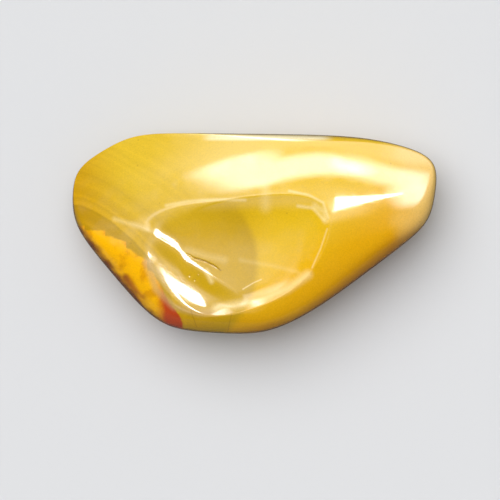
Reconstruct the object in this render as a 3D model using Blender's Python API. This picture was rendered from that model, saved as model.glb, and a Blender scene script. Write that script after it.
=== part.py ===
"""A polished freeform pebble of mookaite jasper, with two shallow hollows in its upper face.

Lengths are millimetres until the mesh is scaled to metres. X runs along the pebble, Y across it
and Z up, and the origin is the middle of the flat that the pebble rests on.
"""

import math

import bmesh
import bpy

MM = 0.001

# Plan outline: a rounded polygon whose sides face these azimuths, at these distances from the middle.
SIDES = [
    (-140.0, 12.63),
    (-116.0, 11.7),
    (-92.5, 9.48),
    (-68.0, 9.15),
    (-53.0, 9.22),
    (-10.5, 15.95),
    (39.0, 17.8),
    (74.0, 11.75),
    (89.4, 9.28),
    (120.5, 13.88),
    (177.5, 17.2),
]
CORNER_SHARPNESS = 20
HALF_LENGTH = 17.0
HALF_WIDTH = 9.4

# Side profile: the widest outline is the girdle, with a crown above it and an underside below it.
GIRDLE_HEIGHT = 4.5
CROWN_HEIGHT = 5.3
CROWN_FULLNESS = 2.8
UNDERSIDE_DEPTH = 4.95
UNDERSIDE_FULLNESS = 2.3

# Upper surface: a dome with a slanting summit line, then slopes worn on its south sides.
SUMMIT_HEIGHT = 4.85
SUMMIT_X = 2.2
WEST_RADIUS = 100.0
EAST_RADIUS = 65.0
EAST_END_X = 6.7
EAST_END_RADIUS = 27.0
EAST_END_BLEND = 2.0
SUMMIT_LINE_Y = -0.95
SUMMIT_LINE_RISE = 0.215
NORTH_BEND = 0.055
NORTH_BEND_GROWTH = 0.006
SOUTH_BEND = 0.013
DOME_BLEND = 0.5

# Worn slopes: azimuth they face, fall per millimetre, distance and height where they start, bend and blend.
SOUTH_EAST_SLOPE = (-58.0, 0.30, 5.3, 4.55, 0.03, 0.8)
SOUTH_WEST_SLOPE = (-138.0, 0.30, 9.5, 4.54, 0.10, 0.4)
UNDER_NORTH_WEST_SLOPE = (140.0, 0.30, 6.0, 4.6, 0.01, 0.8)
UNDER_SOUTH_EAST_SLOPE = (-50.0, 0.38, 4.6, 4.6, 0.03, 0.8)

# Dish: a floor with steep walls round the south, each with its azimuth and distance, and gentle walls
# elsewhere, each with its azimuth, distance and rise.
DISH_MIDDLE = (-1.4, -1.6)
DISH_FLOOR = 3.55
FLOOR_NORTH_BEND = 0.03
FLOOR_SOUTH_BEND = 0.012
STEEP_WALLS = [
    (200.0, 5.9),
    (214.0, 5.4),
    (228.0, 7.5),
    (242.0, 5.7),
    (258.0, 7.35),
    (274.0, 6.9),
    (288.0, 4.1),
    (303.0, 4.3),
    (318.0, 6.8),
    (338.0, 5.3),
]
WALL_SHARPNESS = 12
WALL_FOOT = 0.862
WALL_RISE = 3.1
GENTLE_WALLS = [(350.0, 7.5, 0.5), (40.0, 8.5, 0.2), (92.0, 4.7, 0.3)]
GENTLE_WALL_POWER = 4

# A low ridge divides the dish from a narrow trough along its south-west wall.
CREST_AZIMUTH = 58.7
CREST_DISTANCE = -5.02
CREST_JOG = 0.5
CREST_JOG_X = -6.8
CREST_JOG_LENGTH = 0.3
RIDGE_FALL = 0.2
RIDGE_FOOT = 0.695
RIDGE_TAPER = 0.09
RIDGE_BLEND = 0.03
TROUGH_START = -6.0
TROUGH_END = 4.0
TROUGH_DEPTH = 0.02
TROUGH_FALL = 0.03
TROUGH_BACK = 1.7

# The dish's rim is crisp at the east and north, and softer towards the west end.
RIM_BLEND = 0.07
SOFT_RIM_BLEND = 0.30
SOFT_RIM_START = -3.0
SOFT_RIM_LENGTH = 4.5

SUBDIVISIONS = 5
FINE_AREA_LOW = (-0.80, -0.90, 0.35)
FINE_AREA_HIGH = (0.55, 0.45, 1.10)
STONE_COLOUR = (0.62, 0.36, 0.03, 1.0)
STONE_ROUGHNESS = 0.15


def smooth_min(a, b, blend):
    """The lower of two heights, with the crease between them rounded over blend."""
    share = min(1.0, max(0.0, 0.5 + 0.5 * (b - a) / blend))
    return b + (a - b) * share - blend * share * (1.0 - share)


def toward(x, y, azimuth):
    """How far a point lies in the direction of an azimuth."""
    angle = math.radians(azimuth)
    return x * math.cos(angle) + y * math.sin(angle)


def share_of(x, y, sides, sharpness):
    """0 in the middle of a rounded polygon and 1 on its outline."""
    total = sum(max(0.0, toward(x, y, azimuth) / distance) ** sharpness for azimuth, distance in sides)
    return total ** (1.0 / sharpness)


def eased(value, blend):
    """About 0 for values below 0 and the value itself above, with the bend between rounded over blend."""
    return 0.5 * (value + math.hypot(value, blend))


def smooth_step(value):
    value = min(1.0, max(0.0, value))
    return value * value * (3.0 - 2.0 * value)


def slope_height(x, y, azimuth, fall, start, height, bend):
    past = toward(x, y, azimuth) - start
    return height - fall * past - 0.5 * bend * past * abs(past)


def dome_height(x, y):
    """The dome of the crown: long and flat from end to end, round across, steeper at the east end."""
    radius = EAST_RADIUS if x > SUMMIT_X else WEST_RADIUS
    east = eased(x - EAST_END_X, EAST_END_BLEND)
    lengthwise = (x - SUMMIT_X) ** 2 / (2 * radius)
    lengthwise += east**2 * (1 / (2 * EAST_END_RADIUS) - 1 / (2 * EAST_RADIUS))
    across = y - SUMMIT_LINE_Y - SUMMIT_LINE_RISE * x
    bend = NORTH_BEND + NORTH_BEND_GROWTH * east if across > 0 else SOUTH_BEND
    return SUMMIT_HEIGHT - lengthwise - 0.5 * bend * across**2


def dish_height(x, y):
    """The dish's floor and walls, without the ridge."""
    dx, dy = x - DISH_MIDDLE[0], y - DISH_MIDDLE[1]
    bend = FLOOR_NORTH_BEND if dy > 0 else FLOOR_SOUTH_BEND
    past_foot = max(0.0, share_of(dx, dy, STEEP_WALLS, WALL_SHARPNESS) - WALL_FOOT)
    height = DISH_FLOOR + 0.5 * bend * dy**2 + 0.5 * WALL_RISE * past_foot**2
    for azimuth, distance, rise in GENTLE_WALLS:
        height += rise * (max(0.0, toward(dx, dy, azimuth)) / distance) ** GENTLE_WALL_POWER
    return height


def past_crest(x, y):
    """How far a point lies north-east of the ridge's crest line, which jogs once."""
    jog = CREST_JOG * (0.5 + 0.5 * math.tanh((x - CREST_JOG_X) / CREST_JOG_LENGTH))
    return toward(x, y, CREST_AZIMUTH) - CREST_DISTANCE + jog


def ridge_height(x, y):
    """The ridge above the dish's floor, and the trough below it."""
    past = past_crest(x, y)
    along = toward(x, y, CREST_AZIMUTH - 90.0)
    down_trough = eased(along - TROUGH_START, 1.0)
    foot = RIDGE_FOOT - RIDGE_TAPER * down_trough
    top = eased(RIDGE_FALL * foot, RIDGE_BLEND)
    depth = (TROUGH_DEPTH + TROUGH_FALL * down_trough) * (1.0 - smooth_step(along / TROUGH_END)) + top
    return eased(RIDGE_FALL * (foot - max(0.0, past)), RIDGE_BLEND) - depth * smooth_step(-past / TROUGH_BACK)


def crown_height(x, y, rounded):
    """Height above the girdle, where rounded is the plain pebble's height there."""
    height = smooth_min(rounded, dome_height(x, y), DOME_BLEND)
    for *slope, blend in (SOUTH_EAST_SLOPE, SOUTH_WEST_SLOPE):
        height = smooth_min(height, slope_height(x, y, *slope), blend)
    rim_blend = RIM_BLEND + SOFT_RIM_BLEND * smooth_step((SOFT_RIM_START - x) / SOFT_RIM_LENGTH)
    return smooth_min(height, dish_height(x, y) + ridge_height(x, y), rim_blend)


def underside_depth(x, y, rounded):
    """Depth below the girdle, where rounded is the plain pebble's depth there."""
    depth = rounded
    for *slope, blend in (UNDER_NORTH_WEST_SLOPE, UNDER_SOUTH_EAST_SLOPE):
        depth = smooth_min(depth, slope_height(x, y, *slope), blend)
    return depth


def worn_edge(x, y):
    """How far the crown's slopes dip below the girdle at a point of the outline."""
    return max(0.0, -crown_height(x, y, 0.0))


def pebble_point(direction):
    """Where a point of the unit sphere goes on the pebble."""
    level = math.hypot(direction.x, direction.y)
    above = direction.z > 0
    fullness = CROWN_FULLNESS if above else UNDERSIDE_FULLNESS
    reach = level ** (2.0 / fullness)
    rounded = abs(direction.z) ** (2.0 / fullness)
    edge_x, edge_y = direction.x * HALF_LENGTH, direction.y * HALF_WIDTH
    share = share_of(edge_x, edge_y, SIDES, CORNER_SHARPNESS)
    if share > 0:
        edge_x, edge_y = edge_x / share, edge_y / share
    x, y = edge_x * reach, edge_y * reach
    if above:
        return x, y, crown_height(x, y, CROWN_HEIGHT * rounded)
    depth = underside_depth(x, y, UNDERSIDE_DEPTH * rounded)
    return x, y, -depth - worn_edge(edge_x, edge_y) * (1.0 - rounded) ** 2


def in_fine_area(point):
    return all(low < value < high for low, value, high in zip(FINE_AREA_LOW, point, FINE_AREA_HIGH))


def refine_hollows(mesh):
    """Smaller faces on the part of the ball that becomes the dish and the trough."""
    faces = [face for face in mesh.faces if in_fine_area(face.calc_center_median())]
    edges = list({edge for face in faces for edge in face.edges})
    bmesh.ops.subdivide_edges(mesh, edges=edges, cuts=1, use_grid_fill=True)
    bmesh.ops.triangulate(mesh, faces=mesh.faces)


def cut_resting_flat(mesh):
    """Cut the underside off level, and close it with one flat face."""
    geometry = mesh.verts[:] + mesh.edges[:] + mesh.faces[:]
    cut = bmesh.ops.bisect_plane(
        mesh,
        geom=geometry,
        dist=0.001,
        plane_co=(0, 0, -GIRDLE_HEIGHT),
        plane_no=(0, 0, -1),
        clear_outer=True,
    )
    edges = [part for part in cut["geom_cut"] if isinstance(part, bmesh.types.BMEdge)]
    bmesh.ops.edgeloop_fill(mesh, edges=edges)


def box_middle(mesh, axis):
    values = [vertex.co[axis] for vertex in mesh.verts]
    return (min(values) + max(values)) / 2


def stone_mesh():
    mesh = bmesh.new()
    bmesh.ops.create_icosphere(mesh, subdivisions=SUBDIVISIONS, radius=1.0)
    refine_hollows(mesh)
    for vertex in mesh.verts:
        vertex.co = pebble_point(vertex.co.normalized())
    cut_resting_flat(mesh)
    middle = (box_middle(mesh, 0), box_middle(mesh, 1), -GIRDLE_HEIGHT)
    bmesh.ops.translate(mesh, verts=mesh.verts, vec=[-value for value in middle])
    bmesh.ops.scale(mesh, verts=mesh.verts, vec=(MM, MM, MM))
    bmesh.ops.recalc_face_normals(mesh, faces=mesh.faces)
    data = bpy.data.meshes.new("mookaite_stone")
    mesh.to_mesh(data)
    mesh.free()
    data.shade_smooth()
    return data


def stone_material():
    material = bpy.data.materials.new("polished_mookaite")
    material.use_nodes = True
    shader = material.node_tree.nodes["Principled BSDF"]
    shader.inputs["Base Color"].default_value = STONE_COLOUR
    shader.inputs["Roughness"].default_value = STONE_ROUGHNESS
    shader.inputs["Metallic"].default_value = 0.0
    return material


def main():
    for item in list(bpy.data.objects):
        bpy.data.objects.remove(item, do_unlink=True)
    stone = bpy.data.objects.new("mookaite_stone", stone_mesh())
    stone.data.materials.append(stone_material())
    bpy.context.scene.collection.objects.link(stone)


main()
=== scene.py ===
# %% [markdown]
# This is a pebble of mookaite jasper, tumbled for weeks until it shines like glass. The lesson
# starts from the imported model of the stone. Everything made here has to fit over that model, so
# the first step loads it and notes how large it is.

# %% Load the frame
import math

import bpy
import mathutils
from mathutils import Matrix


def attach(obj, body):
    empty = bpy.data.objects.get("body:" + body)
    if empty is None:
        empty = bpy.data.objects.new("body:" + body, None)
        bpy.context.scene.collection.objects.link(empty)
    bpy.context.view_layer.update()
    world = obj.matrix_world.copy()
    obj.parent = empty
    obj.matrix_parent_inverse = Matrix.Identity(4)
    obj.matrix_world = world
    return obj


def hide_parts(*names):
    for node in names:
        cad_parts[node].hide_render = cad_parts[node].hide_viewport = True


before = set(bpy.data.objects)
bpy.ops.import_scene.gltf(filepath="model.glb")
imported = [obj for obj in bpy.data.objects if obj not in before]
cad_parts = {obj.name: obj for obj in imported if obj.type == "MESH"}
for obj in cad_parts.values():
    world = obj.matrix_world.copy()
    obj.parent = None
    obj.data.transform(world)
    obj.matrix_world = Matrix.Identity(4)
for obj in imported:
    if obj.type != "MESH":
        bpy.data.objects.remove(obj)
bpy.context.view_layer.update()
MM = 0.001
print("nodes in the frame:", sorted(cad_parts))


# %% [markdown]
# The picture looks straight down on the stone. A long lens from 40 cm away keeps the outline nearly
# free of perspective. The lens follows from two sizes: how wide the picture is, in millimetres on
# the stone, and how far the camera is from the stone's widest line, which is called the girdle.

# %% Camera
PIXELS_PER_MM = 10.7
PICTURE_PIXELS = 500
STONE_MIDDLE_PIXEL = (254.7, 233.2)
GIRDLE_HEIGHT = 4.5
CAMERA_HEIGHT = 400.0
SENSOR_WIDTH = 36.0

picture_width = PICTURE_PIXELS / PIXELS_PER_MM
camera_x = (PICTURE_PIXELS / 2 - STONE_MIDDLE_PIXEL[0]) / PIXELS_PER_MM
camera_y = (STONE_MIDDLE_PIXEL[1] - PICTURE_PIXELS / 2) / PIXELS_PER_MM
bpy.ops.object.camera_add(location=(camera_x * MM, camera_y * MM, CAMERA_HEIGHT * MM), rotation=(0, 0, 0))
camera = bpy.context.object
camera.name = "overhead_camera"
camera.data.sensor_width = SENSOR_WIDTH
camera.data.lens = SENSOR_WIDTH * (CAMERA_HEIGHT - GIRDLE_HEIGHT) / picture_width
camera.data.clip_start = 0.01
bpy.context.scene.camera = camera
print("lens", round(camera.data.lens, 1), "mm")


# %% [markdown]
# Seen from above, the pebble is a rounded polygon: a straight long side at the back, a blunt end on
# the left, a narrow end on the right and two slanting sides in front. Each side is given by the
# direction that it faces and its distance from the middle. Raising the distances to a high power and
# adding them up gives one smooth outline with worn corners.

# %% Outline seen from above
SIDES = [
    (-140.0, 12.63),
    (-116.0, 11.7),
    (-92.5, 9.48),
    (-68.0, 9.15),
    (-53.0, 9.22),
    (-10.5, 15.95),
    (39.0, 17.8),
    (74.0, 11.75),
    (89.4, 9.28),
    (120.5, 13.88),
    (177.5, 17.2),
]
CORNER_SHARPNESS = 20


def facing(azimuth):
    """The level direction of an azimuth, in degrees from the stone's long axis."""
    angle = math.radians(azimuth)
    return math.cos(angle), math.sin(angle)


def lines_of(sides):
    return [(*facing(azimuth), distance) for azimuth, distance in sides]


def share_of(x, y, lines, sharpness):
    """0 in the middle of a rounded polygon and 1 on its outline."""
    total = sum(max(0.0, (x * ux + y * uy) / distance) ** sharpness for ux, uy, distance in lines)
    return total ** (1.0 / sharpness)


SIDE_LINES = lines_of(SIDES)
print("share of the outline at its right end:", round(share_of(17.0, 0.0, SIDE_LINES, CORNER_SHARPNESS), 3))


# %% [markdown]
# The crown is a long low dome. Its summit is a line that slants across the stone, and it falls away
# faster behind that line than in front of it. Tumbling also wore two broad slopes onto the front.
# Where two worn surfaces meet, the lower one wins and the edge between them is rounded: that is
# what smooth_min does. Its last value is the height over which the edge is rounded.

# %% Dome and worn slopes
SUMMIT_HEIGHT = 4.85
SUMMIT_X = 2.2
WEST_RADIUS = 100.0
EAST_RADIUS = 65.0
EAST_END_X = 6.7
EAST_END_RADIUS = 27.0
EAST_END_BLEND = 2.0
SUMMIT_LINE_Y = -0.95
SUMMIT_LINE_RISE = 0.215
NORTH_BEND = 0.055
NORTH_BEND_GROWTH = 0.006
SOUTH_BEND = 0.013
DOME_BLEND = 0.5
SOUTH_EAST_SLOPE = (*facing(-58.0), 0.30, 5.3, 4.55, 0.03)
SOUTH_EAST_BLEND = 0.8
SOUTH_WEST_SLOPE = (*facing(-138.0), 0.30, 9.5, 4.54, 0.10)
SOUTH_WEST_BLEND = 0.4


def smooth_min(a, b, blend):
    share = min(1.0, max(0.0, 0.5 + 0.5 * (b - a) / blend))
    return b + (a - b) * share - blend * share * (1.0 - share)


def eased(value, blend):
    """About 0 below 0 and the value itself above, with the bend between rounded over blend."""
    return 0.5 * (value + math.hypot(value, blend))


def slope_height(x, y, ux, uy, fall, start, height, bend):
    past = x * ux + y * uy - start
    return height - fall * past - 0.5 * bend * past * abs(past)


def dome_height(x, y):
    radius = EAST_RADIUS if x > SUMMIT_X else WEST_RADIUS
    east = eased(x - EAST_END_X, EAST_END_BLEND)
    lengthwise = (x - SUMMIT_X) ** 2 / (2 * radius)
    lengthwise += east**2 * (1 / (2 * EAST_END_RADIUS) - 1 / (2 * EAST_RADIUS))
    across = y - SUMMIT_LINE_Y - SUMMIT_LINE_RISE * x
    bend = NORTH_BEND + NORTH_BEND_GROWTH * east if across > 0 else SOUTH_BEND
    return SUMMIT_HEIGHT - lengthwise - 0.5 * bend * across**2


print("dome above the girdle in the middle:", round(dome_height(0, 0), 2), "mm")


# %% [markdown]
# A broad shallow dish gives this pebble its face. Its floor is almost level, its front wall is
# steep, and its other walls rise gently. The stone keeps whichever is lower, the dome or the dish,
# so the dish's rim falls where the two surfaces meet, as it does on a real worn stone.

# %% Dish
DISH_MIDDLE = (-1.4, -1.6)
DISH_FLOOR = 3.55
FLOOR_NORTH_BEND = 0.03
FLOOR_SOUTH_BEND = 0.012
STEEP_WALLS = [
    (200.0, 5.9),
    (214.0, 5.4),
    (228.0, 7.5),
    (242.0, 5.7),
    (258.0, 7.35),
    (274.0, 6.9),
    (288.0, 4.1),
    (303.0, 4.3),
    (318.0, 6.8),
    (338.0, 5.3),
]
WALL_SHARPNESS = 12
WALL_FOOT = 0.862
WALL_RISE = 3.1
GENTLE_WALLS = [(*facing(350.0), 7.5, 0.5), (*facing(40.0), 8.5, 0.2), (*facing(92.0), 4.7, 0.3)]
GENTLE_WALL_POWER = 4
WALL_LINES = lines_of(STEEP_WALLS)


def dish_height(x, y):
    dx, dy = x - DISH_MIDDLE[0], y - DISH_MIDDLE[1]
    bend = FLOOR_NORTH_BEND if dy > 0 else FLOOR_SOUTH_BEND
    past_foot = max(0.0, share_of(dx, dy, WALL_LINES, WALL_SHARPNESS) - WALL_FOOT)
    height = DISH_FLOOR + 0.5 * bend * dy**2 + 0.5 * WALL_RISE * past_foot**2
    for ux, uy, distance, rise in GENTLE_WALLS:
        height += rise * (max(0.0, dx * ux + dy * uy) / distance) ** GENTLE_WALL_POWER
    return height


dish_depth = dome_height(*DISH_MIDDLE) - dish_height(*DISH_MIDDLE)
print("dish floor lies", round(dish_depth, 2), "mm under the dome")


# %% [markdown]
# A low ridge crosses the dish, and in front of it lies a narrow trough. The ridge's crest is a
# straight line that jogs once. Both hollows catch the light on their walls, and the long bright
# crescents in the picture are those walls, so their slopes matter more than their depth.

# %% Ridge and trough
CREST_FACING = facing(58.7)
CREST_DISTANCE = -5.02
CREST_JOG = 0.5
CREST_JOG_X = -6.8
CREST_JOG_LENGTH = 0.3
RIDGE_FALL = 0.2
RIDGE_FOOT = 0.695
RIDGE_TAPER = 0.09
RIDGE_BLEND = 0.03
TROUGH_START = -6.0
TROUGH_END = 4.0
TROUGH_DEPTH = 0.02
TROUGH_FALL = 0.03
TROUGH_BACK = 1.7
RIM_BLEND = 0.07
SOFT_RIM_BLEND = 0.30
SOFT_RIM_START = -3.0
SOFT_RIM_LENGTH = 4.5


def smooth_step(value):
    value = min(1.0, max(0.0, value))
    return value * value * (3.0 - 2.0 * value)


def past_crest(x, y):
    jog = CREST_JOG * (0.5 + 0.5 * math.tanh((x - CREST_JOG_X) / CREST_JOG_LENGTH))
    return x * CREST_FACING[0] + y * CREST_FACING[1] - CREST_DISTANCE + jog


def ridge_height(x, y):
    """The ridge above the dish's floor, and the trough below it."""
    past = past_crest(x, y)
    along = x * CREST_FACING[1] - y * CREST_FACING[0]
    down_trough = eased(along - TROUGH_START, 1.0)
    foot = RIDGE_FOOT - RIDGE_TAPER * down_trough
    top = eased(RIDGE_FALL * foot, RIDGE_BLEND)
    depth = (TROUGH_DEPTH + TROUGH_FALL * down_trough) * (1.0 - smooth_step(along / TROUGH_END)) + top
    ridge = eased(RIDGE_FALL * (foot - max(0.0, past)), RIDGE_BLEND)
    return ridge - depth * smooth_step(-past / TROUGH_BACK)


ridge_top, trough_floor = ridge_height(-6.0, -2.2), ridge_height(-7.0, -3.7)
print("ridge beside the trough:", round(ridge_top - trough_floor, 2), "mm high")


# %% [markdown]
# One hairline crack runs along the foot of the ridge, and a few tiny pits were left by grains that
# fell out in the tumbler. They are cut into the shape, because a groove that is only painted shows
# no shadow and no glint. Each is a small dip with soft shoulders.

# %% Crack and pits
CRACK = [(-6.45, -1.85), (-5.6, -2.3), (-4.6, -2.62), (-3.9, -2.95), (-3.15, -3.45)]
CRACK_DEPTH = 0.09
CRACK_HALF_WIDTH = 0.07
CRACK_ENDS = (0.5, 0.8)
PITS = [
    (-6.0, -3.95, 0.10, 0.05),
    (-5.55, -4.35, 0.07, 0.04),
    (-5.2, -3.8, 0.06, 0.03),
    (1.8, -8.55, 0.09, 0.05),
]


def line_distance(x, y, start, end):
    """How far a point is from the line between two others, and how far along that line it is."""
    dx, dy = end[0] - start[0], end[1] - start[1]
    along = ((x - start[0]) * dx + (y - start[1]) * dy) / (dx * dx + dy * dy)
    along = min(1.0, max(0.0, along))
    return math.hypot(x - start[0] - along * dx, y - start[1] - along * dy)


def crack_distance(x, y):
    return min(line_distance(x, y, start, end) for start, end in zip(CRACK, CRACK[1:]))


def blemish_depth(x, y):
    """How deep the crack and the pits reach below the polished surface."""
    ends = smooth_step((x - CRACK[0][0]) / CRACK_ENDS[0]) * smooth_step((CRACK[-1][0] - x) / CRACK_ENDS[1])
    depth = CRACK_DEPTH * ends * math.exp(-((crack_distance(x, y) / CRACK_HALF_WIDTH) ** 2))
    for pit_x, pit_y, radius, pit_depth in PITS:
        depth += pit_depth * math.exp(-(((x - pit_x) ** 2 + (y - pit_y) ** 2) / radius**2))
    return depth


def crown_height(x, y, rounded):
    """Height above the girdle, where rounded is the plain pebble's height there."""
    height = smooth_min(rounded, dome_height(x, y), DOME_BLEND)
    height = smooth_min(height, slope_height(x, y, *SOUTH_EAST_SLOPE), SOUTH_EAST_BLEND)
    height = smooth_min(height, slope_height(x, y, *SOUTH_WEST_SLOPE), SOUTH_WEST_BLEND)
    rim_blend = RIM_BLEND + SOFT_RIM_BLEND * smooth_step((SOFT_RIM_START - x) / SOFT_RIM_LENGTH)
    height = smooth_min(height, dish_height(x, y) + ridge_height(x, y), rim_blend)
    return height - blemish_depth(x, y)


crack_length = sum(math.dist(start, end) for start, end in zip(CRACK, CRACK[1:]))
print("crack:", round(crack_length, 1), "mm long;", len(PITS), "pits")


# %% [markdown]
# The underside isn't seen from above. It is a plain rounded pebble with two broad worn slopes.
# The function pebble_point moves one point of a ball of radius 1 to its place on the stone: it
# stretches the ball to the outline, then gives it the height of the crown or of the underside. In
# places the crown's slopes end a little below the girdle. There worn_edge starts the underside just as
# low, so that the two surfaces meet and never cross.

# %% From a ball to the pebble
HALF_LENGTH = 17.0
HALF_WIDTH = 9.4
CROWN_HEIGHT = 5.3
CROWN_FULLNESS = 2.8
UNDERSIDE_DEPTH = 4.95
UNDERSIDE_FULLNESS = 2.3
UNDER_NORTH_WEST_SLOPE = (*facing(140.0), 0.30, 6.0, 4.6, 0.01)
UNDER_SOUTH_EAST_SLOPE = (*facing(-50.0), 0.38, 4.6, 4.6, 0.03)
UNDERSIDE_BLEND = 0.8


def underside_depth(x, y, rounded):
    depth = smooth_min(rounded, slope_height(x, y, *UNDER_NORTH_WEST_SLOPE), UNDERSIDE_BLEND)
    return smooth_min(depth, slope_height(x, y, *UNDER_SOUTH_EAST_SLOPE), UNDERSIDE_BLEND)


def worn_edge(x, y):
    """How far the crown's slopes dip below the girdle at a point of the outline."""
    return max(0.0, -crown_height(x, y, 0.0))


def pebble_point(direction):
    above = direction.z > 0
    fullness = CROWN_FULLNESS if above else UNDERSIDE_FULLNESS
    rounded = abs(direction.z) ** (2.0 / fullness)
    edge_x, edge_y = direction.x * HALF_LENGTH, direction.y * HALF_WIDTH
    share = share_of(edge_x, edge_y, SIDE_LINES, CORNER_SHARPNESS)
    if share > 0:
        edge_x, edge_y = edge_x / share, edge_y / share
    reach = math.hypot(direction.x, direction.y) ** (2.0 / fullness)
    x, y = edge_x * reach, edge_y * reach
    if above:
        return x, y, GIRDLE_HEIGHT + crown_height(x, y, CROWN_HEIGHT * rounded)
    depth = underside_depth(x, y, UNDERSIDE_DEPTH * rounded)
    depth += worn_edge(edge_x, edge_y) * (1.0 - rounded) ** 2
    return x, y, GIRDLE_HEIGHT - depth


top = pebble_point(mathutils.Vector((0, 0, 1)))
bottom = pebble_point(mathutils.Vector((0, 0, -1)))
print("height in the middle:", round(top[2] - bottom[2], 2), "mm, before the flat is cut")


# %% [markdown]
# The stone starts as an icosphere, because its triangles are nearly equal all over and it has no
# poles to pinch. Mirror-like reflections show every kink, so the ball is fine, and the faces around
# the hollows are subdivided once more. So are those at the crack and the pits, twice.

# %% Ball with finer faces at the hollows
BALL_SUBDIVISIONS = 7
FINE_AREA_LOW = (-0.80, -0.90, 0.35)
FINE_AREA_HIGH = (0.55, 0.45, 1.10)
BLEMISH_REACH = 0.22
CROWN_ONLY = 0.2


def deselect_all():
    for item in bpy.context.selected_objects:
        item.select_set(False)


def subdivide_where(piece, wanted, cuts):
    """Subdivide the faces of a ball whose centres pass a test."""
    bpy.ops.object.mode_set(mode="EDIT")
    bpy.ops.mesh.select_mode(type="FACE")
    bpy.ops.mesh.select_all(action="DESELECT")
    bpy.ops.object.mode_set(mode="OBJECT")
    for face in piece.data.polygons:
        face.select = wanted(face.center)
    bpy.ops.object.mode_set(mode="EDIT")
    bpy.ops.mesh.subdivide(number_cuts=cuts)
    bpy.ops.mesh.quads_convert_to_tris()
    bpy.ops.object.mode_set(mode="OBJECT")
    print("subdivided to", len(piece.data.polygons), "faces")


def in_fine_area(point):
    return all(low < value < high for low, value, high in zip(FINE_AREA_LOW, point, FINE_AREA_HIGH))


def near_blemish(point):
    if point.z < CROWN_ONLY:
        return False
    x, y, height = pebble_point(point.normalized())
    at_pit = any(math.hypot(x - pit[0], y - pit[1]) < BLEMISH_REACH for pit in PITS)
    return at_pit or crack_distance(x, y) < BLEMISH_REACH


deselect_all()
bpy.ops.mesh.primitive_ico_sphere_add(subdivisions=BALL_SUBDIVISIONS, radius=1.0, location=(0, 0, 0))
stone = bpy.context.object
stone.name = "polished_stone"
stone.data.name = "polished_stone"
subdivide_where(stone, in_fine_area, 1)
subdivide_where(stone, near_blemish, 1)
subdivide_where(stone, near_blemish, 1)


# %% [markdown]
# Now every point of the ball goes to its place on the stone. A pebble rests on a small worn flat, so
# bisect cuts the underside off level at height zero and fills the cut with one face. The edge around
# that face is marked sharp, so that the smooth shading of the stone doesn't run over the flat.

# %% Shape of the stone and its resting flat
for vertex in stone.data.vertices:
    vertex.co = [value * MM for value in pebble_point(vertex.co.normalized())]
bpy.ops.object.mode_set(mode="EDIT")
bpy.ops.mesh.select_all(action="SELECT")
cut = {"plane_co": (0, 0, 0), "plane_no": (0, 0, -1), "threshold": 1e-7}
bpy.ops.mesh.bisect(use_fill=True, clear_outer=True, **cut)
bpy.ops.mesh.mark_sharp()
bpy.ops.mesh.select_all(action="SELECT")
bpy.ops.mesh.normals_make_consistent(inside=False)
bpy.ops.object.mode_set(mode="OBJECT")
stone.data.shade_smooth()
low = min(vertex.co.z for vertex in stone.data.vertices)
print("lowest point of the stone:", round(low / MM, 4), "mm;", len(stone.data.polygons), "faces")


# %% [markdown]
# The stone's colours lie in zones, all through it. A material can do the same: it reads the object's
# own coordinates, so the pattern fills the stone like the real one. These helpers add a node, set
# its values, and link what should be linked.

# %% Node helpers
def srgb(red, green, blue):
    """A colour given as 0 to 255, as a shader's linear values."""
    values = [channel / 255 for channel in (red, green, blue)]
    linear = [v / 12.92 if v <= 0.04045 else ((v + 0.055) / 1.055) ** 2.4 for v in values]
    return (*linear, 1.0)


def set_input(tree, socket, value):
    if isinstance(value, bpy.types.NodeSocket):
        tree.links.new(value, socket)
    else:
        socket.default_value = value


def add_node(tree, kind, inputs=(), **settings):
    node = tree.nodes.new(kind)
    for name, value in settings.items():
        setattr(node, name, value)
    for key, value in dict(inputs).items():
        set_input(tree, node.inputs[key], value)
    return node


def calc(tree, operation, a, b=0.0, c=0.0):
    return add_node(tree, "ShaderNodeMath", {0: a, 1: b, 2: c}, operation=operation).outputs[0]


def mixed_in(tree, mask, below, above):
    """Lay one colour over another where a mask is 1."""
    node = add_node(tree, "ShaderNodeMix", data_type="RGBA")
    for name, value in (("Factor", mask), ("A", below), ("B", above)):
        set_input(tree, next(s for s in node.inputs if s.name == name and s.enabled), value)
    return next(s for s in node.outputs if s.enabled)


def vector_calc(tree, operation, a, b=(0, 0, 0)):
    return add_node(tree, "ShaderNodeVectorMath", {0: a, 1: b}, operation=operation).outputs["Vector"]


def dot_product(tree, a, b):
    return add_node(tree, "ShaderNodeVectorMath", {0: a, 1: b}, operation="DOT_PRODUCT").outputs["Value"]


def scaled(tree, vector, scale):
    inputs = {0: vector, "Scale": scale}
    return add_node(tree, "ShaderNodeVectorMath", inputs, operation="SCALE").outputs["Vector"]


def new_group(name, inputs, outputs):
    """A node group whose inputs are (name, kind, value) and whose outputs are (name, kind)."""
    group = bpy.data.node_groups.new(name, "ShaderNodeTree")
    for socket, kind, value in inputs:
        made = group.interface.new_socket(name=socket, in_out="INPUT", socket_type="NodeSocket" + kind)
        made.default_value = value
    for socket, kind in outputs:
        group.interface.new_socket(name=socket, in_out="OUTPUT", socket_type="NodeSocket" + kind)
    return group, group.nodes.new("NodeGroupInput").outputs, group.nodes.new("NodeGroupOutput").inputs


def grouped(tree, group, **inputs):
    """Place a group in a tree and return its first output."""
    node = tree.nodes.new("ShaderNodeGroup")
    node.node_tree = group
    for name, value in inputs.items():
        set_input(tree, node.inputs[name.replace("_", " ")], value)
    return node.outputs[0]


print("pure white is", srgb(255, 255, 255))


# %% [markdown]
# Three effects come up again and again, in the stone's colours and in the studio's lights, so each is
# a group. Soft Step turns a value into a mask that goes from 0 to 1 across an edge.

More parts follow.
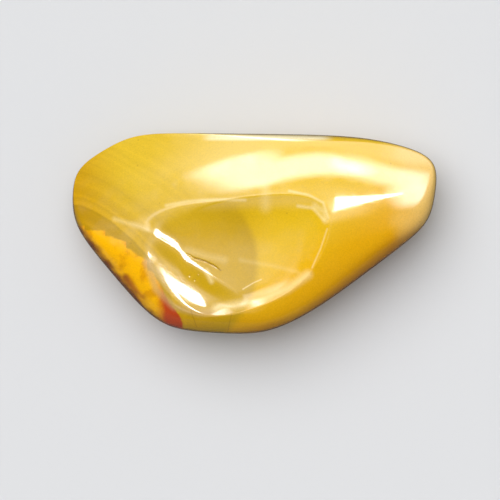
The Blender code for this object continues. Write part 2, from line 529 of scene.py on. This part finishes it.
# %% Group: soft step
def make_soft_step():
    inputs = [("Value", "Float", 0.0), ("Edge", "Float", 0.0), ("Softness", "Float", 1.0)]
    group, given, result = new_group("soft_step", inputs, [("Mask", "Float")])
    past = calc(group, "SUBTRACT", given["Value"], given["Edge"])
    share = calc(group, "DIVIDE", past, given["Softness"])
    ends = {"Value": share, "From Min": -0.5, "From Max": 0.5}
    step = add_node(group, "ShaderNodeMapRange", ends, interpolation_type="SMOOTHSTEP")
    group.links.new(step.outputs["Result"], result["Mask"])
    return group


soft_step = make_soft_step()
print("group:", soft_step.name)


# %% [markdown]
# Line Distance says how far a point is from a straight line between two ends. Streaks and cracks in
# the stone are such lines, and so is a long soft lamp.

# %% Group: line distance
def make_line_distance():
    inputs = [
        ("Point", "Vector", (0, 0, 0)),
        ("Start", "Vector", (0, 0, 0)),
        ("End", "Vector", (1, 0, 0)),
    ]
    group, given, result = new_group("line_distance", inputs, [("Distance", "Float")])
    line = vector_calc(group, "SUBTRACT", given["End"], given["Start"])
    away = vector_calc(group, "SUBTRACT", given["Point"], given["Start"])
    dot = dot_product(group, away, line)
    size = dot_product(group, line, line)
    along = add_node(group, "ShaderNodeClamp", {"Value": calc(group, "DIVIDE", dot, size)})
    reached = scaled(group, line, along.outputs["Result"])
    distance = add_node(group, "ShaderNodeVectorMath", {0: away, 1: reached}, operation="DISTANCE")
    group.links.new(distance.outputs["Value"], result["Distance"])
    return group


line_distance = make_line_distance()
print("group:", line_distance.name)


# %% [markdown]
# Ring Distance says how far a point is from the middle of a set of rings. Mookaite's colours spread
# through it in fronts, like the rings of a damp stain. A noise moves the point a little first, so that
# no ring is a perfect circle.

# %% Group: ring distance
def make_ring_distance():
    inputs = [
        ("Position", "Vector", (0, 0, 0)),
        ("Centre", "Vector", (0, 0, 0)),
        ("Wobble", "Float", 0.5),
        ("Wobble Scale", "Float", 0.3),
    ]
    group, given, result = new_group("ring_distance", inputs, [("Distance", "Float")])
    noise = {"Vector": given["Position"], "Scale": given["Wobble Scale"], "Detail": 3.0}
    colour = add_node(group, "ShaderNodeTexNoise", noise).outputs["Color"]
    centred = vector_calc(group, "SUBTRACT", colour, (0.5, 0.5, 0.5))
    point = vector_calc(group, "ADD", given["Position"], scaled(group, centred, given["Wobble"]))
    distance = add_node(group, "ShaderNodeVectorMath", {0: point, 1: given["Centre"]}, operation="DISTANCE")
    group.links.new(distance.outputs["Value"], result["Distance"])
    return group


ring_distance = make_ring_distance()
print("group:", ring_distance.name)


# %% [markdown]
# The stone's material starts with its place in millimetres. The plan is the same place with its
# height flattened to a quarter, because the zones stand nearly upright in this stone. The uneven
# place is moved a little by a noise, for edges that wander down the stone's side. The short helpers
# place the groups in this one material, and lay one colour over another.

# %% Stone coordinates
FLATTENING = 0.25
DRIFT_SCALE = 0.35
DRIFT_SIZE = 3.0

polish = bpy.data.materials.new("polished_mookaite")
polish.use_nodes = True
tree = polish.node_tree
shader = tree.nodes["Principled BSDF"]
coordinates = add_node(tree, "ShaderNodeTexCoord").outputs["Object"]


def stretched(vector, scale):
    return add_node(tree, "ShaderNodeMapping", {"Vector": vector, "Scale": scale}).outputs["Vector"]


place = stretched(coordinates, (1 / MM, 1 / MM, 1 / MM))
plan = stretched(place, (1, 1, FLATTENING))
level_plan = stretched(place, (1, 1, 0))
split = add_node(tree, "ShaderNodeSeparateXYZ", {0: place}).outputs
drift_noise = {"Vector": place, "Scale": DRIFT_SCALE, "Detail": 3.0}
drift = add_node(tree, "ShaderNodeTexNoise", drift_noise).outputs["Color"]
centred_drift = vector_calc(tree, "SUBTRACT", drift, (0.5, 0.5, 0.5))
uneven_place = vector_calc(tree, "ADD", place, scaled(tree, centred_drift, DRIFT_SIZE))


def step(value, edge, softness):
    return grouped(tree, soft_step, Value=value, Edge=edge, Softness=softness)


def beyond(azimuth, edge, softness, where=None):
    """A mask that is 1 where the stone reaches past a distance in the direction of an azimuth."""
    reach = dot_product(tree, where or place, (*facing(azimuth), 0))
    return step(reach, edge, softness)


def streak(start, end, half_width, softness):
    """A mask that is 1 within half_width of a line seen from above."""
    distance = grouped(tree, line_distance, Point=level_plan, Start=(*start, 0), End=(*end, 0))
    return calc(tree, "SUBTRACT", 1.0, step(distance, half_width, softness))


def noise(scale, detail=2.0, vector=plan):
    inputs = {"Vector": vector, "Scale": scale, "Detail": detail}
    return add_node(tree, "ShaderNodeTexNoise", inputs).outputs["Fac"]


def product(*masks):
    total = masks[0]
    for mask in masks[1:]:
        total = calc(tree, "MULTIPLY", total, mask)
    return total


def mixed(mask, below, above):
    return mixed_in(tree, mask, below, above)


def brightened(below, level):
    """A colour made lighter or darker by a level around 1."""
    levels = add_node(tree, "ShaderNodeCombineXYZ", {0: level, 1: level, 2: level}).outputs[0]
    return vector_calc(tree, "MULTIPLY", below, levels)


print("height is flattened to", FLATTENING)
print("an uneven edge drifts at most", DRIFT_SIZE / 2, "mm each way")


# %% [markdown]
# Mustard yellow fills the stone: silica, stained by iron. It is paler at the back left, turns gold
# towards the front right, and is peach at the right tip, partly its own tint and partly a painted
# reflection of pale light on the steep end. Dark gold along the front edges is painted shade. Each
# change names its colour, its strength, the azimuth that it grows in, where its middle lies and how
# soft it is. All of them are slow, so no edge shows.

# %% Yellow ground
MUSTARD = srgb(204, 162, 12)
LEMON = srgb(216, 180, 46)
LEFT_END = srgb(196, 148, 8)
YELLOW = srgb(224, 182, 26)
GOLD = srgb(226, 166, 4)
DEEP_GOLD = srgb(200, 134, 2)
# Dark gold for the painted shade on the front edges.
FRONT_EDGE_SHADE = srgb(178, 108, 0)
# Peach, partly the stone's own tint and partly a painted reflection.
PEACH_AND_SHEEN = srgb(240, 204, 122)
GROUND_CHANGES = [
    (LEMON, 1.0, (100, 3.5, 8.0)),
    (LEFT_END, 1.0, (195, 12.5, 7.0)),
    (YELLOW, 1.0, (-10, -0.5, 6.0)),
    (GOLD, 1.0, (-50, 5.0, 6.0)),
    (DEEP_GOLD, 1.0, (-50, 8.6, 2.0)),
    (GOLD, 0.6, (-90, 7.6, 1.6)),
    # Peach at the right tip: partly its own tint, partly a painted reflection.
    (PEACH_AND_SHEEN, 0.7, (10, 14.0, 4.0, uneven_place)),
    # Dark gold along the front edges: painted shade.
    (FRONT_EDGE_SHADE, 0.6, (-75, 8.6, 1.2)),
    (FRONT_EDGE_SHADE, 0.5, (-53, 8.9, 0.8)),
]

colour = MUSTARD
for above, strength, edge in GROUND_CHANGES:
    colour = mixed(product(beyond(*edge), strength), colour, above)
print(len(GROUND_CHANGES), "slow changes over the mustard ground")


# %% [markdown]
# Bands run across the left end, round the corner at its front. Such bands can form where water seeps
# through stone and leaves its iron behind. One ring distance gives them all. A colour ramp over it
# sets where each band lies and how dark it is, and a one-dimensional noise over the same distance adds
# finer bands between them. The rings open out towards the left edge, so a slow ramp is taken off the
# distance there.

# %% Bands round the corner
CORNER_CENTRE = (-17.2, -8.8, 1.1)
BAND_SPREAD = 1.5
BAND_START = 9.0
BAND_LENGTH = 8.0
FINE_BANDS = 0.20
BANDS = [
    (9.0, 0.86),
    (9.85, 0.74),
    (10.05, 1.06),
    (10.45, 1.02),
    (10.62, 0.90),
    (10.85, 1.03),
    (11.3, 0.90),
    (12.2, 1.0),
    (13.1, 0.88),
    (13.9, 1.0),
    (15.5, 0.98),
    (17.0, 1.0),
]

band_wobble = {"Wobble": 0.5, "Wobble_Scale": 0.35}
corner = grouped(tree, ring_distance, Position=plan, Centre=CORNER_CENTRE, **band_wobble)
spread = calc(tree, "MULTIPLY", beyond(180, 13.5, 7.0), BAND_SPREAD)
banding = calc(tree, "SUBTRACT", corner, spread)
share = calc(tree, "DIVIDE", calc(tree, "SUBTRACT", banding, BAND_START), BAND_LENGTH)
ramp = add_node(tree, "ShaderNodeValToRGB", {"Fac": share})
stops = ramp.color_ramp.elements
for distance, level in BANDS[1:-1]:
    stops.new((distance - BAND_START) / BAND_LENGTH).color = (level, level, level, 1)
stops[0].color = (BANDS[0][1],) * 3 + (1,)
stops[len(stops) - 1].color = (BANDS[-1][1],) * 3 + (1,)
fine_noise = {"W": banding, "Scale": 1.6, "Detail": 3.0}
fine = add_node(tree, "ShaderNodeTexNoise", fine_noise, noise_dimensions="1D")
fine_level = calc(tree, "MULTIPLY", calc(tree, "SUBTRACT", fine.outputs["Fac"], 0.5), FINE_BANDS)
band_sum = calc(tree, "ADD", calc(tree, "SUBTRACT", ramp.outputs["Color"], 1.0), fine_level)
band_level = calc(tree, "MULTIPLY_ADD", band_sum, beyond(180, 6.0, 6.0), 1.0)
colour = brightened(colour, band_level)
print(len(stops), "stops in the band ramp")


# %% [markdown]
# An olive zone lies under the dish. It is darkest just inside its right edge and fades away to the
# left, as a front of colour does that stopped there.

# %% Olive zone
OLIVE = srgb(188, 150, 22)
OLIVE_CENTRE = (-7.9, -2.9, 1.1)
OLIVE_RADIUS = 8.2
OLIVE_EDGE = 0.9
OLIVE_INNER = (6.5, 5.0)
OLIVE_LEAST = 0.35
OLIVE_GAIN = 0.55
OLIVE_FROM_LEFT = (-15, -5.5, 9.0)
OLIVE_FROM_BACK = (-90, -2.6, 3.0)

olive_wobble = {"Wobble": 0.7, "Wobble_Scale": 0.25}
from_olive = grouped(tree, ring_distance, Position=plan, Centre=OLIVE_CENTRE, **olive_wobble)
inside_olive = calc(tree, "SUBTRACT", 1.0, step(from_olive, OLIVE_RADIUS, OLIVE_EDGE))
olive_level = calc(tree, "MULTIPLY_ADD", step(from_olive, *OLIVE_INNER), OLIVE_GAIN, OLIVE_LEAST)
olive = product(inside_olive, olive_level, beyond(*OLIVE_FROM_LEFT), beyond(*OLIVE_FROM_BACK))
colour = mixed(olive, colour, OLIVE)
print("olive zone:", 2 * OLIVE_RADIUS, "mm across")


# %% [markdown]
# The front left corner is bright orange, with a stepped edge: there the colour stopped at a few
# healed cracks. A saw-tooth along the stone's length makes the steps. Further round, the edge swings
# out, and a red patch lies along it. Near the outline there the stone turns dark brown.

# %% Orange corner
ORANGE = srgb(246, 180, 0)
DARK_ORANGE = srgb(196, 120, 4)
BRIGHT_ORANGE = srgb(250, 186, 24)
CORNER_RADIUS = 9.4
CORNER_EDGE = 0.24
STEP_LENGTH = 1.95
STEP_START = -13.85
STEP_SIZE = 0.42
SWING = 1.1
STEPS_REACH = (180, 9.6, 0.6)
SWING_REACH = (-90, 7.0, 3.0)
FLOW_SCALE = 0.9
FLOW_EDGE = (0.56, 0.2)
FLOW_STRENGTH = 0.5
ORANGE_STREAKS = [
    ((-11.9, -4.1), (-10.6, -6.1), 0.3, 0.5, 1.0, DARK_ORANGE),
    ((-14.1, -1.4), (-12.6, -3.9), 0.05, 0.2, 0.8, BRIGHT_ORANGE),
    ((-12.1, -4.7), (-9.8, -6.8), 0.12, 0.35, 0.8, BRIGHT_ORANGE),
]

past_start = calc(tree, "SUBTRACT", split["X"], STEP_START)
tooth = calc(tree, "FRACT", calc(tree, "DIVIDE", past_start, STEP_LENGTH))
steps = product(calc(tree, "SUBTRACT", tooth, 0.5), STEP_SIZE, beyond(*STEPS_REACH))
swung = product(beyond(*SWING_REACH), SWING)
corner_wobble = {"Wobble": 0.35, "Wobble_Scale": 1.2}
corner_plan = grouped(tree, ring_distance, Position=plan, Centre=CORNER_CENTRE, **corner_wobble)
corner_edge = calc(tree, "ADD", calc(tree, "ADD", steps, swung), CORNER_RADIUS)
past_corner = calc(tree, "SUBTRACT", corner_plan, corner_edge)
in_corner = calc(tree, "SUBTRACT", 1.0, step(past_corner, 0.0, CORNER_EDGE))
flow = product(step(noise(FLOW_SCALE, 4.0), *FLOW_EDGE), FLOW_STRENGTH)
orange = mixed(flow, ORANGE, DARK_ORANGE)
for start, end, half_width, softness, strength, above in ORANGE_STREAKS:
    orange = mixed(product(streak(start, end, half_width, softness), strength), orange, above)
print("corner radius", CORNER_RADIUS, "to", CORNER_RADIUS + SWING, "mm")


# %% [markdown]
# Red iron oxide gathered along the orange corner's edge at the front, and near the corner's outline
# the stone turns dark brown. The red starts at the corner's edge and grows inwards from it. Its inner
# side and the brown use the uneven place, so they wander. The corner's own edge is drawn on the
# flattened plan, so it runs nearly straight down the side of the stone.

# %% Red patch and dark brown outline
RED = srgb(192, 70, 26)
BROWN = srgb(110, 36, 10)
RED_WIDTH = 2.1
RED_GROWTH = (-90, 6.6, 4.2)
RED_EDGE = (0.1, 1.1)
RED_REACH = (-90, 4.4, 1.6)
BROWN_REACH = (-140, 12.0, 0.9)
BROWN_STRENGTH = 0.9

red_start = product(beyond(*RED_GROWTH), RED_WIDTH)
red_depth = calc(tree, "ADD", past_corner, red_start)
red = product(step(red_depth, *RED_EDGE), beyond(*RED_REACH, uneven_place))
orange = mixed(red, orange, RED)
brown = product(beyond(*BROWN_REACH, uneven_place), BROWN_STRENGTH)
orange = mixed(brown, orange, BROWN)
colour = mixed(in_corner, colour, orange)
print("red reaches", RED_WIDTH, "mm in from the corner's edge")


# %% [markdown]
# Pale painted reflections lie where the dome meets the dish: thin painted highlights along the rim,
# a painted sheen in a wedge at its back right corner, and a painted reflection in a band along the
# front wall. A dull painted veil of reflection lies outside the trough, and a white painted reflection
# along the back edge. Each line is a few straight streaks with soft edges, so no bend in it is sharp.

# %% Painted reflections on the rims
# The pale colour of the painted highlights and sheens.
PAINTED_SHEEN = srgb(255, 234, 172)
# The colour of the painted reflection along the back edge.
WHITE_EDGE_REFLECTION = srgb(255, 244, 205)
# The colour of the dull painted reflection outside the trough.
VEIL_REFLECTION = srgb(198, 164, 112)
VEIL_REFLECTION_STRENGTH = 0.55
EDGE_REFLECTION_STRENGTH = 0.8
EDGE_REFLECTION_SIDES = [(90, 8.66, 0.35), (0, -4.6, 1.2), (180, -6.8, 1.5)]
EDGE_REFLECTION_HEIGHT = (5.9, 1.8)
VEIL_REFLECTION_RIM = [(-10.0, -2.7), (-9.1, -5.2), (-7.5, -6.8), (-5.2, -7.4), (-3.6, -7.3)]
# Paths of the painted highlights and sheens along the rims and walls.
PAINTED_RIM_REFLECTIONS = [
    ([(-8.2, 2.55), (-6.2, 2.95), (-3.6, 3.1), (-0.9, 3.05)], 0.08, 0.40, 0.55),
    ([(6.7, 0.4), (6.1, -1.4), (5.3, -3.2)], 0.05, 0.20, 0.45),
    ([(3.2, 3.9), (5.0, 3.5), (6.3, 2.8), (6.8, 1.4)], 0.07, 0.35, 0.60),
    ([(4.0, 2.5), (5.4, 2.3), (6.4, 1.2)], 0.10, 0.40, 0.55),
    ([(5.6, 2.5), (6.4, 2.0), (6.6, 1.2)], 0.25, 0.70, 0.45),
    ([(1.0, 4.3), (1.0, 2.4)], 0.35, 1.20, 0.25),
    ([(-3.6, -7.0), (0.3, -6.3), (3.0, -5.15), (4.9, -3.85)], 0.30, 0.90, 0.55),
    ([(-1.3, -2.5), (1.5, -3.0), (4.0, -3.6)], 0.10, 0.60, 0.20),
    ([(-1.1, -5.2), (-0.1, -4.6), (0.6, -4.3)], 0.04, 0.14, 0.75),
    ([(-6.3, -1.6), (-4.6, -2.1), (-2.8, -2.5)], 0.25, 0.80, 0.22),
    ([(-13.0, 1.3), (-10.6, 0.6), (-9.6, 0.2)], 0.12, 0.60, 0.35),
    ([(-4.5, -3.5), (-4.0, -4.5)], 0.12, 0.60, 0.65),
]


def streaks(path, half_width, softness):
    """A mask along a path of straight lines seen from above."""
    total = None
    for start, end in zip(path, path[1:]):
        mask = streak(start, end, half_width, softness)
        total = mask if total is None else calc(tree, "MAXIMUM", total, mask)
    return total


# Painted reflection: a dull veil of reflected light outside the trough.
colour = mixed(product(streaks(VEIL_REFLECTION_RIM, 0.30, 0.60), VEIL_REFLECTION_STRENGTH), colour, VEIL_REFLECTION)
# Painted highlights and sheens along the dish's rims and walls.
for path, half_width, softness, strength in PAINTED_RIM_REFLECTIONS:
    colour = mixed(product(streaks(path, half_width, softness), strength), colour, PAINTED_SHEEN)
# Painted reflection: a white strip along the top of the back edge.
edge_reflection_sides = product(*[beyond(*side) for side in EDGE_REFLECTION_SIDES])
edge_reflection = product(edge_reflection_sides, step(split["Z"], *EDGE_REFLECTION_HEIGHT), EDGE_REFLECTION_STRENGTH)
colour = mixed(edge_reflection, colour, WHITE_EDGE_REFLECTION)
# The count is of painted highlights and reflections.
print(len(PAINTED_RIM_REFLECTIONS), "painted rim reflections")


# %% [markdown]
# Polished jasper is never one flat colour close up: it is full of fine grain, of small dark specks
# and of healed hairlines. A fine noise gives the grain, and a Voronoi texture the specks: the distance
# to its scattered points is small only right beside one. The crack's groove is also coloured dark
# here, along most of its line.

# %% Grain and specks
SPECK = srgb(140, 100, 20)
GRAIN_SCALE = 7.0
GRAIN_STRENGTH = 0.36
SPECKS_PER_MM = 0.55
SPECK_SIZE = 0.04
SPECK_STRENGTH = 0.35
THIN_LINES = [((-5.9, -7.2), (-5.4, -8.7)), ((-2.15, -7.5), (-2.5, -9.1))]
LINE_STRENGTH = 0.5
CRACK_STRENGTH = 0.85

centred_grain = calc(tree, "SUBTRACT", noise(GRAIN_SCALE, 4.0, place), 0.5)
colour = brightened(colour, calc(tree, "MULTIPLY_ADD", centred_grain, GRAIN_STRENGTH, 1.0))
cells = add_node(tree, "ShaderNodeTexVoronoi", {"Vector": place, "Scale": SPECKS_PER_MM})
speck = calc(tree, "SUBTRACT", 1.0, step(cells.outputs["Distance"], SPECK_SIZE, SPECK_SIZE))
colour = mixed(product(speck, SPECK_STRENGTH), colour, SPECK)
for start, end in THIN_LINES:
    colour = mixed(product(streak(start, end, 0.03, 0.16), LINE_STRENGTH), colour, SPECK)
colour = mixed(product(streaks(CRACK[1:], 0.04, 0.12), CRACK_STRENGTH), colour, SPECK)
tree.links.new(colour, shader.inputs["Base Color"])
print("grain, specks,", len(THIN_LINES), "thin lines and the dark in the crack")


# %% [markdown]
# Tumbling leaves a hard, clear, glassy surface, but never a perfect one. Seen close, the polish is a
# little hazier in some patches, so a noise drives the roughness. A second noise is the faint ripple
# that grinding leaves: a bump of a few thousandths of a millimetre, which lies under the clear coat.
# The coat itself stays smooth, so the highlights keep their sharp edges. The other values are the
# same all over, so they are set on the shader.

# %% Polish
STONE_IOR = 1.54
COAT_ROUGHNESS = 0.03
HAZE_SCALE = 0.9
HAZE_LEAST = 0.05
HAZE_MOST = 0.16
RIPPLE_SCALE = 1.6
RIPPLE_HEIGHT = 0.00001
RIPPLE_STRENGTH = 0.35

patches = {"Value": noise(HAZE_SCALE, 4.0, place), "From Min": 0.35, "From Max": 0.65}
patches.update({"To Min": HAZE_LEAST, "To Max": HAZE_MOST})
haze = add_node(tree, "ShaderNodeMapRange", patches).outputs["Result"]
waves = {"Height": noise(RIPPLE_SCALE, 2.0, place), "Strength": RIPPLE_STRENGTH, "Distance": RIPPLE_HEIGHT}
ripple = add_node(tree, "ShaderNodeBump", waves).outputs["Normal"]
tree.links.new(haze, shader.inputs["Roughness"])
tree.links.new(ripple, shader.inputs["Normal"])
shader.inputs["IOR"].default_value = STONE_IOR
shader.inputs["Coat Weight"].default_value = 1.0
shader.inputs["Coat Roughness"].default_value = COAT_ROUGHNESS
stone.data.materials.clear()
stone.data.materials.append(polish)
print("material:", polish.name, "with", len(tree.nodes), "nodes")


# %% [markdown]
# The new stone rides on the model's one body, and stands for its one node. A pebble has no moving
# parts, so there is nothing else to attach: wherever the body goes, all of the stone goes with it.

# %% Join the stone to the frame
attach(stone, "root")
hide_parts("mookaite_stone")
print("the stone replaces the node mookaite_stone")


# %% [markdown]
# The stone lies on a plain pale floor, which is matt so that it shows the stone's soft shadow and no
# reflection of the studio. A polished stone mirrors its floor all round its lower side. A pale floor
# would put a grey rim there, so rays that come from a glossy surface find a darker floor.

# %% Floor
FLOOR_COLOUR = srgb(205, 206, 208)
FLOOR_IN_STONE = srgb(70, 66, 62)
FLOOR_ROUGHNESS = 0.9
FLOOR_SIZE = 4.0

deselect_all()
bpy.ops.mesh.primitive_plane_add(size=FLOOR_SIZE, location=(0, 0, 0))
floor = bpy.context.object
floor.name = "floor"
paper = bpy.data.materials.new("pale_floor")
paper.use_nodes = True
paper_tree = paper.node_tree
paper_shader = paper_tree.nodes["Principled BSDF"]
in_stone = add_node(paper_tree, "ShaderNodeLightPath").outputs["Is Glossy Ray"]
floor_colour = mixed_in(paper_tree, in_stone, FLOOR_COLOUR, FLOOR_IN_STONE)
paper_tree.links.new(floor_colour, paper_shader.inputs["Base Color"])
paper_shader.inputs["Roughness"].default_value = FLOOR_ROUGHNESS
floor.data.materials.append(paper)
print("floor:", floor.name)


# %% [markdown]
# A polished stone shows its studio: every highlight is the picture of a lamp or a window. So the
# studio is painted on the world, all round the stone. Seen from above, a surface that falls by so
# many millimetres per millimetre to the right and to the back mirrors one direction of the studio.
# Painting the lamps over those two slopes says directly which parts of the stone will shine.

# %% Studio directions as slopes
world = bpy.data.worlds.new("studio")
world.use_nodes = True
bpy.context.scene.world = world
studio = world.node_tree
studio.nodes.clear()
direction = add_node(studio, "ShaderNodeTexCoord").outputs["Generated"]
towards = add_node(studio, "ShaderNodeSeparateXYZ", {0: direction}).outputs
depth = calc(studio, "MAXIMUM", calc(studio, "ADD", towards["Z"], 1.0), 0.01)
slope_x = calc(studio, "DIVIDE", towards["X"], depth)
slope_y = calc(studio, "DIVIDE", towards["Y"], depth)
slopes = add_node(studio, "ShaderNodeCombineXYZ", {0: slope_x, 1: slope_y}).outputs["Vector"]


def studio_step(value, edge, softness):
    return grouped(studio, soft_step, Value=value, Edge=edge, Softness=softness)


print("world:", world.name, "painted over two slopes")


# %% [markdown]
# Behind the stone the studio is bright from the lamps down to the horizon, and elsewhere it is dim. The
# bright part ends on the left in a soft upright edge, which is what leaves the stone's left end clear.
# The sky's brightness is one value, and each step of it is a soft edge over one of the two slopes.

# %% Studio sky
SKY_DARK = 0.04
SKY_LOW = 0.6
SKY_BACK = 2.0
BACK_EDGE = 0.46
BACK_SOFTNESS = 0.10
LEFT_EDGE = -0.205
LEFT_SOFTNESS = 0.13
FRONT_EDGE = 0.02
FRONT_SOFTNESS = 0.4

not_left = studio_step(slope_x, LEFT_EDGE, LEFT_SOFTNESS)
back_share = studio_step(slope_y, BACK_EDGE, BACK_SOFTNESS)
low_share = studio_step(slope_y, FRONT_EDGE, FRONT_SOFTNESS)
level = calc(studio, "MULTIPLY_ADD", back_share, SKY_BACK - SKY_LOW, SKY_LOW)
level = calc(studio, "MULTIPLY", level, calc(studio, "MULTIPLY", not_left, low_share))
level = calc(studio, "ADD", level, SKY_DARK)
print("sky from", SKY_DARK, "to", SKY_DARK + SKY_BACK)


# %% [markdown]
# Each soft lamp is a line in the studio with a soft edge. The largest stands behind the stone and
# bends round its right side, and makes the broad pale band along the back of the dome. Dimmer ones
# make the pale bands on the dish's walls and the bright strip along the back edge.

# %% Soft lamps
BACK_LAMPS = [
    ([(-0.130, 0.437), (-0.078, 0.34)], 0.044, 0.045, 7.0),
    ([(-0.058, 0.368), (0.2, 0.373)], 0.060, 0.055, 7.0),
    ([(0.2, 0.373), (0.33, 0.30), (0.38, 0.12)], 0.072, 0.09, 6.0),
]
LAMPS = [
    ([(0.12, 0.38), (0.17, 0.37)], 0.03, 0.08, 5.0),
    ([(-0.14, 0.75), (-0.08, 1.1)], 0.10, 0.10, 6.0),
    ([(-0.05, 0.20), (-0.145, 0.235)], 0.040, 0.06, 2.2),
    ([(0.02, 0.03), (0.16, 0.07)], 0.05, 0.10, 0.7),
    ([(-0.14, -0.38), (0.0, -0.38)], 0.10, 0.16, 0.8),
]


def lamp(path, reach, edge, radiance):
    """The light of a lamp that follows a path of slopes."""
    nearest = None
    for start, end in zip(path, path[1:]):
        distance = grouped(studio, line_distance, Point=slopes, Start=(*start, 0), End=(*end, 0))
        nearest = distance if nearest is None else calc(studio, "MINIMUM", nearest, distance)
    mask = calc(studio, "SUBTRACT", 1.0, studio_step(nearest, reach, edge))
    return calc(studio, "MULTIPLY", mask, radiance)


back = 0.0
for path, reach, edge, radiance in BACK_LAMPS:
    back = calc(studio, "MAXIMUM", back, lamp(path, reach, edge, radiance))
level = calc(studio, "ADD", level, back)
for path, reach, edge, radiance in LAMPS:
    level = calc(studio, "ADD", level, lamp(path, reach, edge, radiance))
print(len(BACK_LAMPS) + len(LAMPS), "soft lamps")


# %% [markdown]
# The sharp white highlights are pictures of a window with hard edges and four straight sides. The
# distance inside each side is taken, and the smallest one says whether a direction lies in it.

# %% Window
WINDOW_LEFT = 0.09
WINDOW_RIGHT = 0.32
WINDOW_TOP = 0.178
WINDOW_BOTTOM = 0.09
WINDOW_SLANT = 0.32
WINDOW_EDGE = 0.008
WINDOW_RADIANCE = 16.0
GLOW_EDGE = -0.03
GLOW_SOFTNESS = 0.14
GLOW_RADIANCE = 1.2

inside_left = calc(studio, "SUBTRACT", slope_x, WINDOW_LEFT)
inside_right = calc(studio, "SUBTRACT", WINDOW_RIGHT, slope_x)
inside_top = calc(studio, "SUBTRACT", WINDOW_TOP, slope_y)
sill = calc(studio, "MULTIPLY_ADD", inside_left, WINDOW_SLANT, WINDOW_BOTTOM)
inside_bottom = calc(studio, "SUBTRACT", slope_y, sill)
across = calc(studio, "MINIMUM", inside_left, inside_right)
upright = calc(studio, "MINIMUM", inside_top, inside_bottom)
window = studio_step(calc(studio, "MINIMUM", across, upright), 0.0, WINDOW_EDGE)
glow = studio_step(calc(studio, "MINIMUM", across, upright), GLOW_EDGE, GLOW_SOFTNESS)
level = calc(studio, "MULTIPLY_ADD", window, WINDOW_RADIANCE, level)
level = calc(studio, "MULTIPLY_ADD", glow, GLOW_RADIANCE, level)
print("window:", round(WINDOW_RIGHT - WINDOW_LEFT, 3), "wide as a slope")


# %% [markdown]
# The lamps are only needed for the shine. The light that falls on the stone and the floor comes from
# one broad soft panel overhead, a little towards the back left, and from a dim room. A studio does the
# same with a big diffuser. Light Path tells the two apart: rays from glossy surfaces see the lamps,
# the camera sees a plain backdrop, and all other rays see the panel.

# %% Panel overhead and the finished studio
PANEL_AZIMUTH = 125.0
PANEL_TILT = 25.0
PANEL_EDGE = 0.87
PANEL_SOFTNESS = 0.22
PANEL_RADIANCE = 4.0
ROOM_RADIANCE = 0.36
BACKDROP = (0.8, 0.8, 0.8, 1)
WHITE = (1, 1, 1, 1)

panel_x, panel_y = (value * math.sin(math.radians(PANEL_TILT)) for value in facing(PANEL_AZIMUTH))
panel_z = math.cos(math.radians(PANEL_TILT))
towards_panel = dot_product(studio, direction, (panel_x, panel_y, panel_z))
panel = studio_step(towards_panel, PANEL_EDGE, PANEL_SOFTNESS)
panel_level = calc(studio, "MULTIPLY_ADD", panel, PANEL_RADIANCE, ROOM_RADIANCE)
shine = add_node(studio, "ShaderNodeBackground", {"Color": WHITE, "Strength": level}).outputs[0]
light = add_node(studio, "ShaderNodeBackground", {"Color": WHITE, "Strength": panel_level}).outputs[0]
seen = add_node(studio, "ShaderNodeBackground", {"Color": BACKDROP, "Strength": 1.0}).outputs[0]
rays = add_node(studio, "ShaderNodeLightPath").outputs
mirrored = add_node(studio, "ShaderNodeMixShader", {0: rays["Is Glossy Ray"], 1: light, 2: shine})
by_camera = {0: rays["Is Camera Ray"], 1: mirrored.outputs[0], 2: seen}
chosen = add_node(studio, "ShaderNodeMixShader", by_camera)
output = studio.nodes.new("ShaderNodeOutputWorld")
studio.links.new(chosen.outputs[0], output.inputs["Surface"])
print("studio:", len(studio.nodes), "nodes")


# %% [markdown]
# Colours are shown as they are, with no film curve over them. A film curve would grey the yellow near
# the highlights, and the highlights should burn out to white, as they do in a photograph of a wet or
# polished stone.

# %% Picture settings
bpy.context.scene.view_settings.view_transform = "Standard"
bpy.context.scene.view_settings.look = "None"
bpy.context.scene.view_settings.exposure = 0.0
print("view transform:", bpy.context.scene.view_settings.view_transform)
